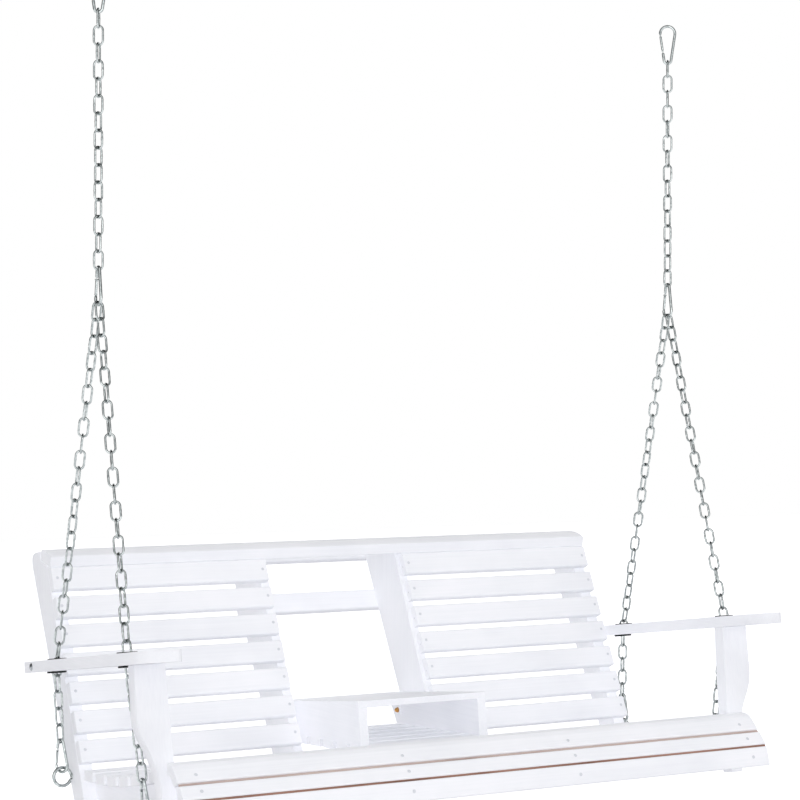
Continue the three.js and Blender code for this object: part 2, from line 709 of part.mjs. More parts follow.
const seatFrame = new THREE.Group();
seatFrame.rotation.x = -HANG_PITCH;
seatFrame.position.set(0, SEAT_BEHIND_HOOKS, -SEAT_BELOW_HOOKS);
seatFrame.updateMatrixWorld(true);
const hung = (x, y, z) => new THREE.Vector3(x, y, z).applyMatrix4(seatFrame.matrixWorld);
const level = (p) => p.clone().applyMatrix4(seatFrame.matrixWorld.clone().invert());

const DOWN = new THREE.Vector3(0, 0, -1);
const UP = new THREE.Vector3(0, 0, 1);
const inside = (size) => size.length - 2 * CARABINER_BAR; // between the two bearing points
const UPPER_TOP = -inside(TOP_CARABINER);
const UPPER_BOTTOM = UPPER_TOP - UPPER_LINKS * LINK_PITCH;
const JUNCTION_BOW = UPPER_BOTTOM - inside(JUNCTION_CARABINER) + JUNCTION_CARABINER.wide - CARABINER_BAR;

// Each leg: where its chain passes the armrest, the point on the wood where its eye bolt is screwed in, and
// the way its carabiner's gate faces. The chains differ left and right in their links and in their twist:
// the turn at the junction, at the armrest and at the eye bolt.
const OUTER_JOIST_FACE = HALF_WIDTH - FRAME_THICKNESS - FIT;
const LEGS = [
  {
    name: "rear",
    armY: REAR_CHAIN_Y,
    socket: new THREE.Vector3(HALF_WIDTH, REAR_EYE.x, REAR_EYE.y),
    clipTurn: 126 * DEG,
    left: { links: 27, turns: [4, 180, 216] },
    right: { links: 31, turns: [0, 218, 216] },
  },
  {
    name: "front",
    armY: FRONT_CHAIN_Y,
    socket: new THREE.Vector3(OUTER_JOIST_FACE, FRONT_EYE.x, FRONT_EYE.y),
    clipTurn: 97 * DEG,
    left: { links: 28, turns: [20, -60, -83] },
    right: { links: 32, turns: [10, 76, 97] },
  },
];

// The route of a leg: from the wide bow of the junction carabiner, through the armrest, to its eye bolt.
function legRoute(side, leg) {
  const bow = new THREE.Vector3(side * CHAIN_HOOK_X, 0, JUNCTION_BOW);
  const arm = hung(side * CHAIN_ARM_X, leg.armY, ARM_MIDDLE);
  const eye = hung(side * (leg.socket.x + EYE_STANDOFF), leg.socket.y, leg.socket.z);
  const slant = Math.sign(arm.y - bow.y) * 20 * DEG;
  const bearing = JUNCTION_CARABINER.wide - CARABINER_BAR - RUN;
  const start = bow.clone().add(new THREE.Vector3(0, Math.sin(slant), -Math.cos(slant)).multiplyScalar(bearing));
  const lower = eye.clone().sub(arm).normalize();
  const bowToEye = EYE_RADIUS - EYE_WIRE / 2 - EYE_PLAY;
  const clip = eye.clone().addScaledVector(lower, -bowToEye - inside(EYE_CARABINER));
  const end = clip.clone().addScaledVector(lower, RUN);
  return { start, arm, end, eye, lower, clip };
}

// An eye bolt screwed sideways into the wood; its collar bears on the wood.
function eyeBolt(side, socket) {
  const at = (out) => new THREE.Vector3(side * (socket.x + out), socket.y, socket.z);
  const loop = arc(0, 0, EYE_RADIUS, 0, 2 * Math.PI, 12).slice(1);
  const ring = bentBar(loop, true, EYE_WIRE / 2, 6, at(EYE_STANDOFF), new THREE.Vector3(1, 0, 0), UP);
  return join([
    ring,
    rod(EYE_WIRE / 2, 8, at(-EYE_SHANK), at(EYE_STANDOFF - EYE_RADIUS + 0.5)),
    rod(EYE_COLLAR, 10, at(FIT), at(FIT + EYE_COLLAR_THICKNESS)),
  ]);
}

const eyeHole = (side, socket) =>
  rod(
    EYE_WIRE / 2 + FIT,
    10,
    new THREE.Vector3(side * (socket.x - EYE_SHANK - 1), socket.y, socket.z),
    new THREE.Vector3(side * (HALF_WIDTH + 1), socket.y, socket.z),
  );

// ---------- assembly ----------

const swing = new THREE.Group();
swing.add(seatFrame);

seatFrame.add(named("cap_rail", capRail(), paint));
seatFrame.add(named("back_brace", rearBoard(BRACE_RISE, BRACE_WIDTH), paint));
seatFrame.add(named("back_top_rail", rearBoard(TOP_RAIL_RISE, TOP_RAIL_WIDTH), paint));
seatFrame.add(named("console_box", consoleParts(), paint));
for (let i = 0; i < SEAT_SLATS; i++) seatFrame.add(named(`seat_slat_${i + 1}`, seatSlat(i), paint));
FRONT_BOARDS.forEach((face, i) => {
  const board = face.length > 2 ? nosing(face) : frontBoard(face);
  seatFrame.add(named(`front_board_${i + 1}`, board, paint));
});

for (const [word, side] of SIDES) {
  const holes = LEGS.map((leg) => eyeHole(side, leg.socket));
  seatFrame.add(named(`back_panel_${word}`, backPanel(side), paint));
  seatFrame.add(named(`outer_stile_${word}`, cut(outerStile(side), [holes[0]]), paint));
  seatFrame.add(named(`outer_joist_${word}`, cut(outerJoist(side), holes), paint));
  seatFrame.add(named(`inner_joist_${word}`, innerJoist(side), paint));
  seatFrame.add(named(`arm_post_${word}`, armPost(side), paint));

  const hookX = side * CHAIN_HOOK_X;
  const clips = [
    ["top", TOP_CARABINER, new THREE.Vector3(hookX, 0, UPPER_TOP), UP, TOP_TURN],
    ["junction", JUNCTION_CARABINER, new THREE.Vector3(hookX, 0, UPPER_BOTTOM), DOWN, JUNCTION_TURN],
  ];
  const legs = LEGS.map((leg) => {
    const route = legRoute(side, leg);
    return { ...leg, ...route, crossings: [route.start, route.arm, route.eye].map(level) };
  });
  for (const leg of legs) {
    const end = `${leg.name}_${word}`;
    const { links, turns } = leg[word];
    const twist = turns.map((turn) => turn * DEG);
    swing.add(named(`leg_chain_${end}`, chain([leg.start, leg.arm, leg.end], links, twist), zinc));
    seatFrame.add(named(`eye_bolt_${end}`, eyeBolt(side, leg.socket), zinc));
    const upper = washer(leg, ARM_TOP + FIT, ARM_TOP + FIT + UPPER_WASHER_THICKNESS);
    const lower = washer(leg, ARM_BOTTOM - FIT - LOWER_WASHER_THICKNESS, ARM_BOTTOM - FIT);
    seatFrame.add(named(`upper_washer_${end}`, upper, blackSteel));
    seatFrame.add(named(`lower_washer_${end}`, lower, blackSteel));
    clips.push([`${leg.name}_eye`, EYE_CARABINER, leg.clip, leg.lower, leg.clipTurn]);
  }
  seatFrame.add(named(`armrest_${word}`, armrest(side, legs), paint));

  const upperRoute = [UPPER_TOP + SWING_PLAY, UPPER_BOTTOM - RUN].map((z) => new THREE.Vector3(hookX, 0, z));
  const upperTurns = [TOP_TURN - 90 * DEG, JUNCTION_TURN - 90 * DEG];
  swing.add(named(`upper_chain_${word}`, chain(upperRoute, UPPER_LINKS, upperTurns), zinc));

  for (const [place, size, end, along, turn] of clips) {
    const made = carabiner(size, end, along, turn);
    swing.add(named(`${place}_carabiner_${word}`, made.body, zinc));
    const gate = named(`${place}_gate_${word}`, made.gate, zinc);
    gate.userData = { hinge: made.hinge.toArray(), axis: made.axis.toArray() };
    swing.add(gate);
  }
}

export default swing;
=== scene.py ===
"""Porch swing seat: white painted boards, zinc-plated chains and carabiners, brass pivot bolts.

Metres. +Z is up, +X is to the right seen from the front, and the seat faces -Y. The origin is midway
between the points where the two ceiling hooks bear. The seat itself is laid out level, in millimetres,
in its own frame, and hung() leans it back as the chains let it hang. Paths, profiles and named sizes are
in millimetres too. A part is a pair: its points and its faces.
"""

import json
import math

import bmesh
import bpy
import numpy as np
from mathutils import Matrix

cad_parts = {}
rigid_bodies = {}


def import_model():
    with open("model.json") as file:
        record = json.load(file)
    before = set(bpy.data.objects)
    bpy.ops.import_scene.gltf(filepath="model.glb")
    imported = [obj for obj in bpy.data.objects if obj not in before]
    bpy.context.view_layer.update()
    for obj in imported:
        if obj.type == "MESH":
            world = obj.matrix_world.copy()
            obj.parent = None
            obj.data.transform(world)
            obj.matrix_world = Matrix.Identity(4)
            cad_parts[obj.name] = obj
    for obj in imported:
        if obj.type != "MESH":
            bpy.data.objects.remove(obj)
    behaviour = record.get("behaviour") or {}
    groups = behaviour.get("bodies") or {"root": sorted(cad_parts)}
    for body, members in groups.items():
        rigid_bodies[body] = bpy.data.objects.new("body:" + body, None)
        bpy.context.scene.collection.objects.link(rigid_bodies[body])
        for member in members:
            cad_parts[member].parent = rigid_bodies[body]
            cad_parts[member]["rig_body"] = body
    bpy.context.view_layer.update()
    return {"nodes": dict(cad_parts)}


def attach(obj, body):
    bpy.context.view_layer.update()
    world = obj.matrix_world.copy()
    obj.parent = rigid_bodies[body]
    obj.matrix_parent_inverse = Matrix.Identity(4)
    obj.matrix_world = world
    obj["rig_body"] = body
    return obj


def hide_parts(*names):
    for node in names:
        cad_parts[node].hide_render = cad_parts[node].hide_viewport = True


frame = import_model()

# ---------- the seat's own frame ----------

HANG_PITCH = math.radians(7.9)
SEAT_BEHIND_HOOKS = 128.3
SEAT_BELOW_HOOKS = 1507.0
RECLINE = math.radians(18)
HALF_WIDTH = 640.0
OPENING_HALF = 156.6
SIDES = ((-1, "left"), (1, "right"))


def hung(points):
    """Points of the level seat, in millimetres, turned back by the hang pitch and lowered, in metres."""
    p = np.asarray(points, float)
    c, s = math.cos(HANG_PITCH), math.sin(HANG_PITCH)
    y = p[..., 1] * c + p[..., 2] * s + SEAT_BEHIND_HOOKS
    z = -p[..., 1] * s + p[..., 2] * c - SEAT_BELOW_HOOKS
    return np.stack([p[..., 0], y, z], -1) / 1000


def hung_way(way):
    """A direction of the level seat, turned back by the hang pitch."""
    return (hung(way) - hung([0, 0, 0])) * 1000


def level(point):
    """A hung point, in millimetres, back in the level seat's frame."""
    c, s = math.cos(HANG_PITCH), math.sin(HANG_PITCH)
    y, z = point[1] - SEAT_BEHIND_HOOKS, point[2] + SEAT_BELOW_HOOKS
    return np.array([point[0], y * c - z * s, y * s + z * c])


def on_back(up, deep):
    """The level y and z of a point of the reclined back, from its height along the stiles and its depth
    behind the slats' faces."""
    y = up * math.sin(RECLINE) + deep * math.cos(RECLINE)
    z = up * math.cos(RECLINE) - deep * math.sin(RECLINE)
    return y, z


BACK_UP = hung_way([0, *on_back(1, 0)])
BACK_REAR = hung_way([0, *on_back(0, 1)])

# ---------- materials ----------


def linear(code):
    """An sRGB hex colour as linear RGBA."""
    v = np.array([int(code[i : i + 2], 16) for i in (1, 3, 5)]) / 255
    v = np.where(v <= 0.04045, v / 12.92, ((v + 0.055) / 1.055) ** 2.4)
    return (*v.tolist(), 1.0)


def feed(tree, n, **links):
    """Feeds a node's inputs, each named by its label with _ for a space, or by i and its number: a socket is
    linked, a value is set."""
    for key, value in links.items():
        socket = n.inputs[int(key[1:])] if key[1:].isdigit() else n.inputs[key.replace("_", " ")]
        if isinstance(value, bpy.types.NodeSocket):
            tree.links.new(value, socket)
        else:
            socket.default_value = value


def node(tree, kind, settings=None, **links):
    """Adds a node with its settings, and feeds its inputs."""
    n = tree.nodes.new(kind)
    for key, value in (settings or {}).items():
        setattr(n, key, value)
    feed(tree, n, **links)
    return n


def material(name):
    """A new material with its node tree emptied down to one Principled shader."""
    m = bpy.data.materials.new(name)
    m.use_nodes = True
    t = m.node_tree
    t.nodes.clear()
    shader = node(t, "ShaderNodeBsdfPrincipled")
    node(t, "ShaderNodeOutputMaterial", i0=shader.outputs[0])
    return m, t, shader


def ramp(tree, factor, stops):
    """A colour ramp through (position, hex colour) stops."""
    r = node(tree, "ShaderNodeValToRGB", i0=factor)
    while len(r.color_ramp.elements) < len(stops):
        r.color_ramp.elements.new(0.5)
    for element, (at, code) in zip(r.color_ramp.elements, stops):
        element.position = at
        element.color = linear(code)
    return r.outputs[0]


PAINT = ("#eaebf0", "#f0f1f5", "#f5f5f9")
GRAIN_ACROSS = 260  # grain lines per metre, one in 3.8 mm, coarser than real pine's so that they show
GRAIN_ALONG = 5  # each runs on for about 200 mm
BRUSH_PER_GRAIN = 3.5  # a bristle's streak about every 1.1 mm
PAINT_CLOUDS = 7.0  # per metre, where the coat is thicker and thinner, about 140 mm apart
FLOATS = {"data_type": "FLOAT"}


def white_paint(name, along):
    """Exterior acrylic paint brushed on planed pine: satin, with the grain just felt through it and faint
    streaks along the brush. `along` is the axis that the board's grain follows."""
    m, t, shader = material(name)
    place = node(t, "ShaderNodeTexCoord").outputs["Object"]
    scale = [GRAIN_ACROSS] * 3
    scale["xyz".index(along)] = GRAIN_ALONG
    lines = node(t, "ShaderNodeMapping", Vector=place, Scale=scale)
    grain = node(t, "ShaderNodeTexNoise", Vector=lines.outputs[0], Scale=1.0, Detail=4.0, Roughness=0.6)
    brush = node(t, "ShaderNodeMapping", Vector=place, Scale=[s * BRUSH_PER_GRAIN for s in scale])
    streaks = node(t, "ShaderNodeTexNoise", Vector=brush.outputs[0], Scale=1.0, Detail=2.0)
    clouds = node(t, "ShaderNodeTexNoise", Vector=place, Scale=PAINT_CLOUDS, Detail=3.0)
    tone = node(t, "ShaderNodeMix", FLOATS, i0=0.35, i2=clouds.outputs[0], i3=grain.outputs[0])
    colour = ramp(t, tone.outputs[0], [(0.3, PAINT[0]), (0.5, PAINT[1]), (0.68, PAINT[2])])
    rough = node(t, "ShaderNodeMapRange", i0=streaks.outputs[0], i1=0.3, i2=0.7, i3=0.5, i4=0.64)
    low = node(t, "ShaderNodeBump", i0=0.22, i1=0.0004, Height=grain.outputs[0])
    fine = node(t, "ShaderNodeBump", i0=0.15, i1=0.0001, Height=streaks.outputs[0], Normal=low.outputs[0])
    feed(t, shader, Base_Color=colour, Roughness=rough.outputs[0], Normal=fine.outputs[0])
    feed(t, shader, IOR=1.48, Specular_IOR_Level=0.3)
    return m


RING_LINES = 420  # growth rings per metre, one in 2.4 mm
RING_RUN = 7  # each runs on for about 140 mm


def raw_pine(name, codes):
    """Bare pine where two boards meet and the brush didn't reach: dull, brown, its growth rings as lines."""
    m, t, shader = material(name)
    place = node(t, "ShaderNodeTexCoord").outputs["Object"]
    lines = node(t, "ShaderNodeMapping", Vector=place, Scale=(RING_RUN, RING_LINES, RING_LINES))
    grain = node(t, "ShaderNodeTexNoise", Vector=lines.outputs[0], Scale=1.0, Detail=4.0, Roughness=0.65)
    colour = ramp(t, grain.outputs[0], [(0.3, codes[0]), (0.44, codes[1]), (0.66, codes[2])])
    bump = node(t, "ShaderNodeBump", i0=0.4, i1=0.0003, Height=grain.outputs[0])
    feed(t, shader, Base_Color=colour, Roughness=0.85, Normal=bump.outputs[0])
    return m


PLATING_GRIT = 900.0  # per metre, a pit every 1.1 mm, coarser than real plating's so that they show


def plated(name, codes, roughness, spangle, metal=1.0):
    """Plated or turned metal: a mirror-like skin, cloudy where the plating is thin, and finely pitted.
    `spangle` is the number of clouds per metre, and `metal` is below 1 where paint covers part of it."""
    m, t, shader = material(name)
    place = node(t, "ShaderNodeTexCoord").outputs["Object"]
    cloud = node(t, "ShaderNodeTexNoise", Vector=place, Scale=spangle, Detail=3.0, Roughness=0.55)
    colour = ramp(t, cloud.outputs[0], [(0.32, codes[0]), (0.7, codes[1])])
    dull, bright = roughness + 0.08, roughness - 0.05
    rough = node(t, "ShaderNodeMapRange", i0=cloud.outputs[0], i1=0.3, i2=0.7, i3=dull, i4=bright)
    grit = node(t, "ShaderNodeTexNoise", Vector=place, Scale=PLATING_GRIT, Detail=2.0)
    bump = node(t, "ShaderNodeBump", i0=0.12, i1=0.0001, Height=grit.outputs[0])
    feed(t, shader, Base_Color=colour, Roughness=rough.outputs[0], Normal=bump.outputs[0], Metallic=metal)
    return m


PEBBLES = 1400.0  # per metre, one in 0.7 mm


def powder_coat(name):
    """Black powder coat on pressed steel: even, slightly pebbled, satin."""
    m, t, shader = material(name)
    place = node(t, "ShaderNodeTexCoord").outputs["Object"]
    pebble = node(t, "ShaderNodeTexNoise", Vector=place, Scale=PEBBLES, Detail=2.0)
    colour = ramp(t, pebble.outputs[0], [(0.35, "#08090a"), (0.7, "#121315")])
    bump = node(t, "ShaderNodeBump", i0=0.3, i1=0.0001, Height=pebble.outputs[0])
    feed(t, shader, Base_Color=colour, Roughness=0.5, Normal=bump.outputs[0], Specular_IOR_Level=0.25)
    return m


PAINT_LENGTHWAYS = white_paint("white_paint_grain_across_seat", "x")
PAINT_DEEP = white_paint("white_paint_grain_front_to_back", "y")
PAINT_UPRIGHT = white_paint("white_paint_grain_upright", "z")
RAW_PALE = raw_pine("raw_pine_pale", ("#8f7d78", "#b9a49d", "#cdbdb7"))
RAW_DARK = raw_pine("raw_pine_dark", ("#4f3a34", "#8a6455", "#ab8576"))
ZINC = plated("bright_zinc_plate", ("#939a9a", "#c9cecd"), 0.13, 160)
BRASS = plated("brass_bolt", ("#b4762f", "#e2b06a"), 0.28, 420)
SCREW_PAINT = plated("screw_head_under_thin_paint", ("#cfd1d8", "#dcdee4"), 0.5, 300, 0.05)
BOLT_STEEL = plated("dull_steel_bolt", ("#74787c", "#b4b8bb"), 0.35, 240)
BLACK = powder_coat("black_powder_coat")

# ---------- meshes ----------


def unit(v):
    """The direction of a vector."""
    return np.asarray(v, float) / np.linalg.norm(v)


def piece(name, part, look, body, smooth=True, sharp=40):
    """A part as a mesh object at the origin, riding on a body. `sharp` is the angle in degrees past which
    an edge of a smooth piece stays sharp."""
    points, faces = part
    mesh = bpy.data.meshes.new(name)
    mesh.from_pydata(points.tolist(), [], faces)
    mesh.validate()
    mesh.materials.append(look)
    if smooth:
        mesh.shade_smooth()
        mesh.set_sharp_from_angle(angle=math.radians(sharp))
    obj = bpy.data.objects.new(name, mesh)
    bpy.context.scene.collection.objects.link(obj)
    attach(obj, body)
    return obj


def tube_faces(rings, around, closed):
    """Quads between successive rings of points. A closed tube joins its last ring to its first, and an
    open one is closed by its two end rings."""
    i = np.arange(rings if closed else rings - 1)[:, None]
    j = np.arange(around)[None, :]
    here, ahead, beside = i * around, (i + 1) % rings * around, (j + 1) % around
    quads = np.stack([here + j, ahead + j, ahead + beside, here + beside], -1).reshape(-1, 4).tolist()
    if closed:
        return quads
    end = rings * around
    return quads + [list(range(around)), list(range(end - 1, end - around - 1, -1))]


def bar(path, radius, around, closed=False):
    """Round bar along a flat path, in the plane's own axes (across, along, off the plane). Each ring is the
    path point plus radius times (cos of the outward way + sin of the plane's normal)."""
    path = np.asarray(path, float)
    radius = np.broadcast_to(np.asarray(radius, float), (len(path),))
    ahead = np.roll(path, -1, 0) - path
    behind = path - np.roll(path, 1, 0)
    if not closed:
        ahead[-1], behind[0] = behind[-1], ahead[0]
    way = ahead / np.linalg.norm(ahead, axis=1)[:, None] + behind / np.linalg.norm(behind, axis=1)[:, None]
    way /= np.linalg.norm(way, axis=1)[:, None]
    out = np.stack([way[:, 1], -way[:, 0]], -1)
    turn = np.linspace(0, 2 * math.pi, around, endpoint=False)
    flat = path[:, None, :] + radius[:, None, None] * np.cos(turn)[None, :, None] * out[:, None, :]
    off = radius[:, None] * np.sin(turn)[None, :]
    points = np.concatenate([flat, off[..., None]], -1).reshape(-1, 3)
    return points, tube_faces(len(path), around, closed)


END_RING = 0.12  # radians from the tip of a half-round end to its first ring


def rounded_ends(path, radius, steps=4):
    """An open path and its radii with a half-round end at each end: the radius follows a quarter circle."""
    path = np.array(path, float)
    first, last = unit(path[0] - path[1]), unit(path[-1] - path[-2])
    angle = np.linspace(END_RING, math.pi / 2, steps + 1)[:-1]
    small = radius * np.sin(angle)
    reach = radius * (np.cos(angle) - 1)
    head = path[0] + first * reach[:, None]
    tail = path[-1] + last * reach[::-1, None]
    radii = np.concatenate([small, np.full(len(path), radius), small[::-1]])
    path[0] -= first * radius
    path[-1] -= last * radius
    return np.concatenate([head, path, tail]), radii


def arc(x, y, radius, start, end, steps):
    """Points of an arc, both ends included."""
    a = np.linspace(start, end, steps + 1)
    return np.stack([x + radius * np.cos(a), y + radius * np.sin(a)], -1)


def placed(part, origin, across, along):
    """A part given as (across, along, off) put in the world, millimetres to metres."""
    points, faces = part
    origin, across, along = (np.asarray(v, float) for v in (origin, across, along))
    off = np.cross(across, along)
    return (origin + points[:, :1] * across + points[:, 1:2] * along + points[:, 2:3] * off) / 1000, faces


def turned(profile, origin, axis, around, closed=False):
    """A profile of (radius, height) points turned about an axis through a point in metres. Its outside is
    on the right hand of the profile's course, so that a profile which rises along the axis faces outwards."""
    axis = unit(axis)
    off_axis = [0.3, 0.2, 0.93] if abs(axis[2]) < 0.9 else [1, 0, 0]
    side = unit(np.cross(axis, off_axis))
    other = np.cross(axis, side)
    turn = np.linspace(0, 2 * math.pi, around, endpoint=False)
    ring = np.cos(turn)[:, None] * side + np.sin(turn)[:, None] * other
    profile = np.asarray(profile, float) / 1000
    points = np.asarray(origin, float) + profile[:, None, :1] * ring[None] + profile[:, None, 1:] * axis
    return points.reshape(-1, 3), [face[::-1] for face in tube_faces(len(profile), around, closed)]


def together(parts):
    """Several parts as one."""
    points, faces, count = [], [], 0
    for part_points, part_faces in parts:
        points.append(part_points)
        faces += [[i + count for i in face] for face in part_faces]
        count += len(part_points)
    return np.concatenate(points), faces


# ---------- painted boards ----------

SLAT_PITCH = 59.6
SLAT_WIDTH = 45.0
SLAT_THICKNESS = 20.0
BACK_SLATS = 7
SEAT_SLATS = 7
FRONT_BOARDS = 3
SLAT_END_SETBACK = 8.0  # how far the slats stop short of the inner stile's face at the opening
# Metres that the cuts stay off the plane where slats and stile meet, so that neither keeps a sliver of the
# other.
SLAT_CUT_SHY, STILE_CUT_SHY = 7e-5, 2e-5
MERGE = 2e-5  # metres between two corners that are one
FLAT = math.radians(0.6)  # the most that two triangles of one face lean apart


def merged(name, cuts=()):
    """A copy of a CAD solid's mesh with its flat faces merged, kept behind each of several planes and closed
    there. A plane is a point and the way out of the wood that stays."""
    mesh = frame["nodes"][name].data.copy()
    work = bmesh.new()
    work.from_mesh(mesh)
    bmesh.ops.remove_doubles(work, verts=work.verts, dist=MERGE)
    for point, out in cuts:
        everything = work.verts[:] + work.edges[:] + work.faces[:]
        plane = {"plane_co": point, "plane_no": out, "dist": 1e-6}
        bmesh.ops.bisect_plane(work, geom=everything, clear_outer=True, **plane)
        rim = [edge for edge in work.edges if edge.is_boundary]
        bmesh.ops.holes_fill(work, edges=rim, sides=0)
    bmesh.ops.dissolve_limit(work, angle_limit=FLAT, verts=work.verts, edges=work.edges)
    if cuts:
        bmesh.ops.recalc_face_normals(work, faces=work.faces)
    work.to_mesh(mesh)
    work.free()
    return mesh


def painted_board(name, mesh, look, rub, body, curved=False):
    """A board with its sharp arrises rubbed down by a width in millimetres. A curved board is shaded smooth
    across its facets; on any other each planed face keeps its own shade."""
    mesh.materials.clear()
    mesh.materials.append(look)
    obj = bpy.data.objects.new(name, mesh)
    bpy.context.scene.collection.objects.link(obj)
    bevel = obj.modifiers.new("rubbed_edges", "BEVEL")
    bevel.width = rub / 1000
    bevel.segments = 2
    bevel.limit_method = "ANGLE"
    bevel.angle_limit = math.radians(28)
    if curved:
        bevel.harden_normals = True
        mesh.shade_smooth()
        mesh.set_sharp_from_angle(angle=math.radians(75))
    else:
        mesh.shade_flat()
    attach(obj, body)
    return obj


def eased(name, look, rub=1.6, curved=False):
    """A wooden CAD solid, painted and rubbed down."""
    body = frame["nodes"][name]["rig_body"]
    obj = painted_board(f"{name}_board", merged(name), look, rub, body, curved)
    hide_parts(name)


CAP_GAP = 2.2  # that the CAD solids leave between the top slat's front and the cap
CAP_SLANT = 0.67  # how much the cap's underside rises for each millimetre to the rear
SLAT_CHAMFER = 2.5


def tucked_under_cap(mesh):
    """Lengthens the top slat until it meets the cap's slanting underside: its upper points rise by the gap,
    and by the slant for each millimetre that they lie behind the front chamfer."""
    points = np.empty(len(mesh.vertices) * 3)
    mesh.vertices.foreach_get("co", points)
    points = points.reshape(-1, 3)
    place = (points - hung([0, 0, 0])) * 1000
    rise = CAP_GAP + CAP_SLANT * np.maximum(place @ BACK_REAR - SLAT_CHAMFER, 0)
    top = place @ BACK_UP > (BACK_SLATS - 1) * SLAT_PITCH + SLAT_WIDTH / 2
    points += np.where(top, rise, 0)[:, None] * BACK_UP / 1000
    mesh.vertices.foreach_set("co", points.ravel())
    mesh.update()


def back_half(side, word):
    """One half of the back: its slats, cut from the solid in front of the stile and short of its inner face,
    and the stile with the pivot bolt, which is what lies behind the slats."""
    name = f"back_panel_{word}"
    rear = hung([0, *on_back(0, SLAT_THICKNESS)])
    end = hung([side * (OPENING_HALF + SLAT_END_SETBACK), 0, 0])
    slats = merged(name, [(rear - BACK_REAR * SLAT_CUT_SHY, BACK_REAR), (end, (-side, 0, 0))])
    tucked_under_cap(slats)
    stile = merged(name, [(rear + BACK_REAR * STILE_CUT_SHY, -BACK_REAR)])
    boards = (
        painted_board(f"{name}_slats", slats, PAINT_LENGTHWAYS, 1.2, "bench"),
        painted_board(f"{name}_stile", stile, PAINT_UPRIGHT, 1.0, "bench"),
    )
    for obj in boards:
        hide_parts(name)


for name in ("cap_rail", "back_brace", "back_top_rail"):
    eased(name, PAINT_LENGTHWAYS)
for index in range(FRONT_BOARDS):
    eased(f"front_board_{index + 1}", PAINT_LENGTHWAYS)
for index in range(SEAT_SLATS):
    eased(f"seat_slat_{index + 1}", PAINT_LENGTHWAYS, rub=1.4)
eased("console_box", PAINT_DEEP, rub=0.9)
for side, word in SIDES:
    back_half(side, word)
    eased(f"outer_stile_{word}", PAINT_UPRIGHT)
    eased(f"outer_joist_{word}", PAINT_DEEP)
    eased(f"inner_joist_{word}", PAINT_DEEP)
    eased(f"arm_post_{word}", PAINT_UPRIGHT, rub=1.8, curved=True)
    eased(f"armrest_{word}", PAINT_DEEP, rub=2.2, curved=True)

# ---------- chains ----------

WIRE = 4.2
LINK_WIDTH = 21.6
LINK_PITCH = 32.3  # of the upper chains; a leg's links divide its route evenly
LINK_STEPS = 10  # of each half circle, each straight and the wire's own round
WELD_SWELL, WELD_REACH = 0.16, 1.9  # a share of the wire's radius, and millimetres along the wire
UPPER_LINKS = 15
CHAIN_HOOK_X = 654.7
CHAIN_ARM_X = 669.0
BAR = 6.0
# Each carabiner's length and the outer radius of its wide and its narrow bow.
TOP_CLIP = (87.0, 19.0, 10.5)
JUNCTION_CLIP = (78.0, 17.0, 9.5)
EYE_CLIP = (69.0, 15.5, 9.0)
HOOK_SIDES, GATE_SIDES = 14, 12
GATE_RADIUS = 2.5
GATE_HINGE, GATE_TIP = 0.36, 0.96  # shares of the straight on the gate's side
NOSE_GAP, HINGE_GAP = 0.4, 2.6  # from the gate's tip and hinge to the ends of the bent bar
GATE_TAIL = 1.6  # how far the gate runs on past its hinge
GATE_STRAIGHT = 3  # at each end of the gate, before its half-round end
PIN_BACK = 1.8  # from the gate's tip to the pin
RIVET = [(0.2, -3.4), (1.3, -3.3), (1.6, -2.9), (1.6, 2.9), (1.3, 3.3), (0.2, 3.4)]
NOSE_PIN = [(0.2, -3.0), (0.9, -2.8), (0.9, 2.8), (0.2, 3.0)]
PLAY = 0.7  # of an end link in its carabiner
SWING_PLAY = 1.5  # of the first link, which swings in the top carabiner
EYE_RADIUS = 17.6
EYE_WIRE = 6.5
EYE_SIDES = 14
EYE_PLAY = 2.2  # of the carabiner in its screw eye
EYE_STANDOFF = 20.0
EYE_MOUTH = math.radians(-166)  # where the open ring ends, short of the shank at 180 degrees
# Profiles of (radius, depth in the wood); what is negative stands out of it.
EYE_SHANK = [(0.3, 34), (2.9, 31), (3.25, 28), (3.25, EYE_RADIUS - EYE_STANDOFF)]
EYE_COLLAR = [(2.0, -0.3), (6.2, -0.3), (6.6, -0.8), (6.4, -1.7), (4.2, -2.4), (2.0, -2.4)]
ARM_TOP, ARM_BOTTOM = 200.0, 178.0
WASHER_BORE, WASHER_RIM = 13.0, 19.0
WASHER_LIFT = 0.3
# Each washer's name, its level, the way that it faces and its height.
WASHERS = (("upper", ARM_TOP + WASHER_LIFT, 1, 2.0), ("lower", ARM_BOTTOM - WASHER_LIFT, -1, 3.6))
TOP_TURN, JUNCTION_TURN = math.radians(151.2), math.radians(90)
JUNCTION_SLANT = math.radians(20)  # where a leg bears in the junction's bow, fore or aft of its foot
# Where each leg passes the armrest and is screwed to the wood, the way its carabiner's gate faces, and for
# each side its number of links and its turns at the junction, the armrest and the eye.
LEGS = {
    "rear": {
        "arm_y": 35.6,
        "socket": (HALF_WIDTH, 57.0, -27.0),
        "gate_turn": 126,
        "left": (27, (4, 180, 216)),
        "right": (31, (0, 218, 216)),
    },
    "front": {
        "arm_y": -341.7,
        "socket": (611.7, -303.0, -98.0),
        "gate_turn": 97,
        "left": (28, (20, -60, -83)),
        "right": (32, (10, 76, 97)),
    },
}


def across_at(along, turn):
    """The level direction at an angle from +x, squared to the chain's line."""
    flat = np.array([math.cos(turn), math.sin(turn), 0.0])
    return unit(flat - along * flat.dot(along))


